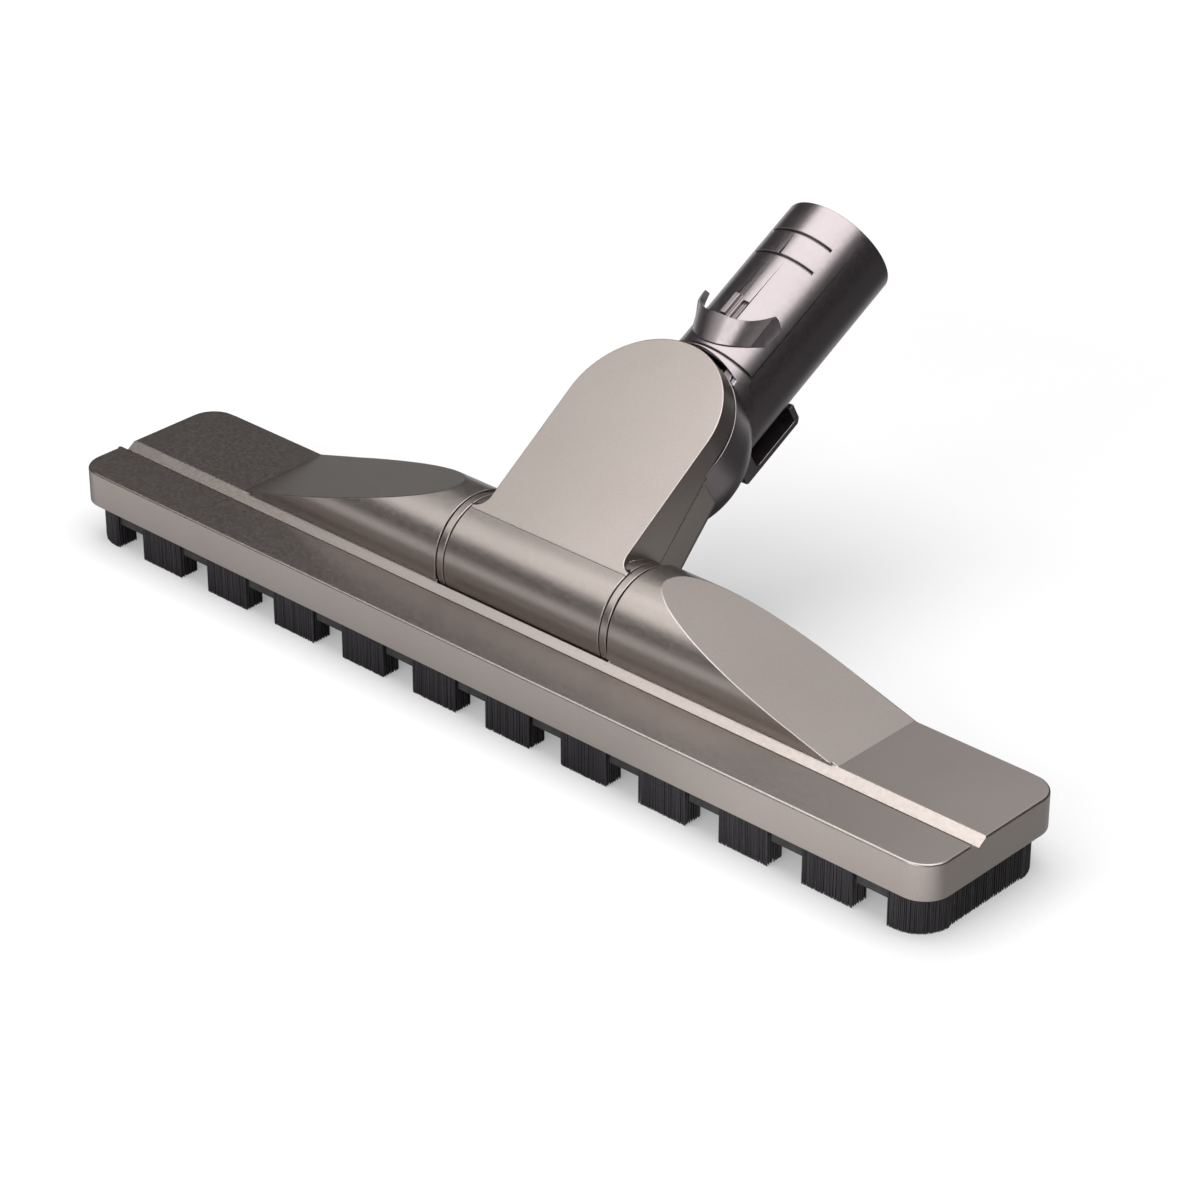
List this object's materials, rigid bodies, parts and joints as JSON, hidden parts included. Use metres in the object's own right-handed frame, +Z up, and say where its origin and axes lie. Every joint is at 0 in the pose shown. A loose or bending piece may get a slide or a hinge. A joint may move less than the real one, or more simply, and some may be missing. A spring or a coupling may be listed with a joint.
{
  "type": "vacuum cleaner hard floor tool",
  "caption": "Slim articulating hard-floor head with castellated bristles, a pitching barrel neck with a flat tongue, and a swivelling wand spigot.",
  "frame": {"origin": "bottom centre of the whole tool's box, on the floor plane the bristles stand on, with the neck in its rest position", "axes": "+X along the head's length, +Z up, -Y towards the front of the head, so the neck leans back towards +Y"},
  "size_m": [0.31, 0.1574, 0.1036],
  "materials": {
    "titanium_plastic": "warm grey metallic moulding, satin",
    "spigot_plastic": "grey metallic moulding with a purple tint, semi-gloss",
    "black_plastic": "black moulding, fine texture",
    "bristle": "black fine bristle",
    "felt": "black felt",
    "bearing_plastic": "natural acetal",
    "screw_steel": "plated pan-head screw"
  },
  "bodies": {
    "head": {"upper_housing": "titanium_plastic", "sole_plate": "black_plastic", "brush_frame": "black_plastic", "bristle_block_01": "bristle", "bristle_block_02": "bristle", "bristle_block_03": "bristle", "bristle_block_04": "bristle", "bristle_block_05": "bristle", "bristle_block_06": "bristle", "bristle_block_07": "bristle", "bristle_block_08": "bristle", "bristle_block_09": "bristle", "bristle_block_10": "bristle", "bristle_end_left": "bristle", "bristle_end_right": "bristle", "bristle_rear": "bristle", "pivot_bush_left": "bearing_plastic", "pivot_bush_right": "bearing_plastic", "barrel_seal_front": "felt", "sole_screw_1": "screw_steel", "sole_screw_2": "screw_steel", "sole_screw_3": "screw_steel", "sole_screw_4": "screw_steel", "sole_screw_5": "screw_steel", "sole_screw_6": "screw_steel"},
    "neck": {"neck_upper_shell": "titanium_plastic", "neck_lower_shell": "titanium_plastic", "trunnion_left": "titanium_plastic", "trunnion_right": "titanium_plastic", "swivel_retainer": "bearing_plastic", "swivel_seal": "felt", "neck_screw_left": "screw_steel", "neck_screw_right": "screw_steel"},
    "connector": {"swivel_drum": "spigot_plastic", "spigot_tube": "spigot_plastic", "stop_collar": "spigot_plastic", "parking_hook": "spigot_plastic"}
  },
  "joints": [
    {"name": "neck_pitch", "type": "hinge", "parent": "head", "child": "neck", "pos_m": [0, -0.04227, 0.0276], "axis": [1, 0, 0], "range_deg": [0, 60]},
    {"name": "swivel", "type": "hinge", "parent": "neck", "child": "connector", "pos_m": [0, -0.01183, 0.06643], "axis": [0, -0.5678, 0.8231], "range_deg": [-60, 60]}
  ]
}
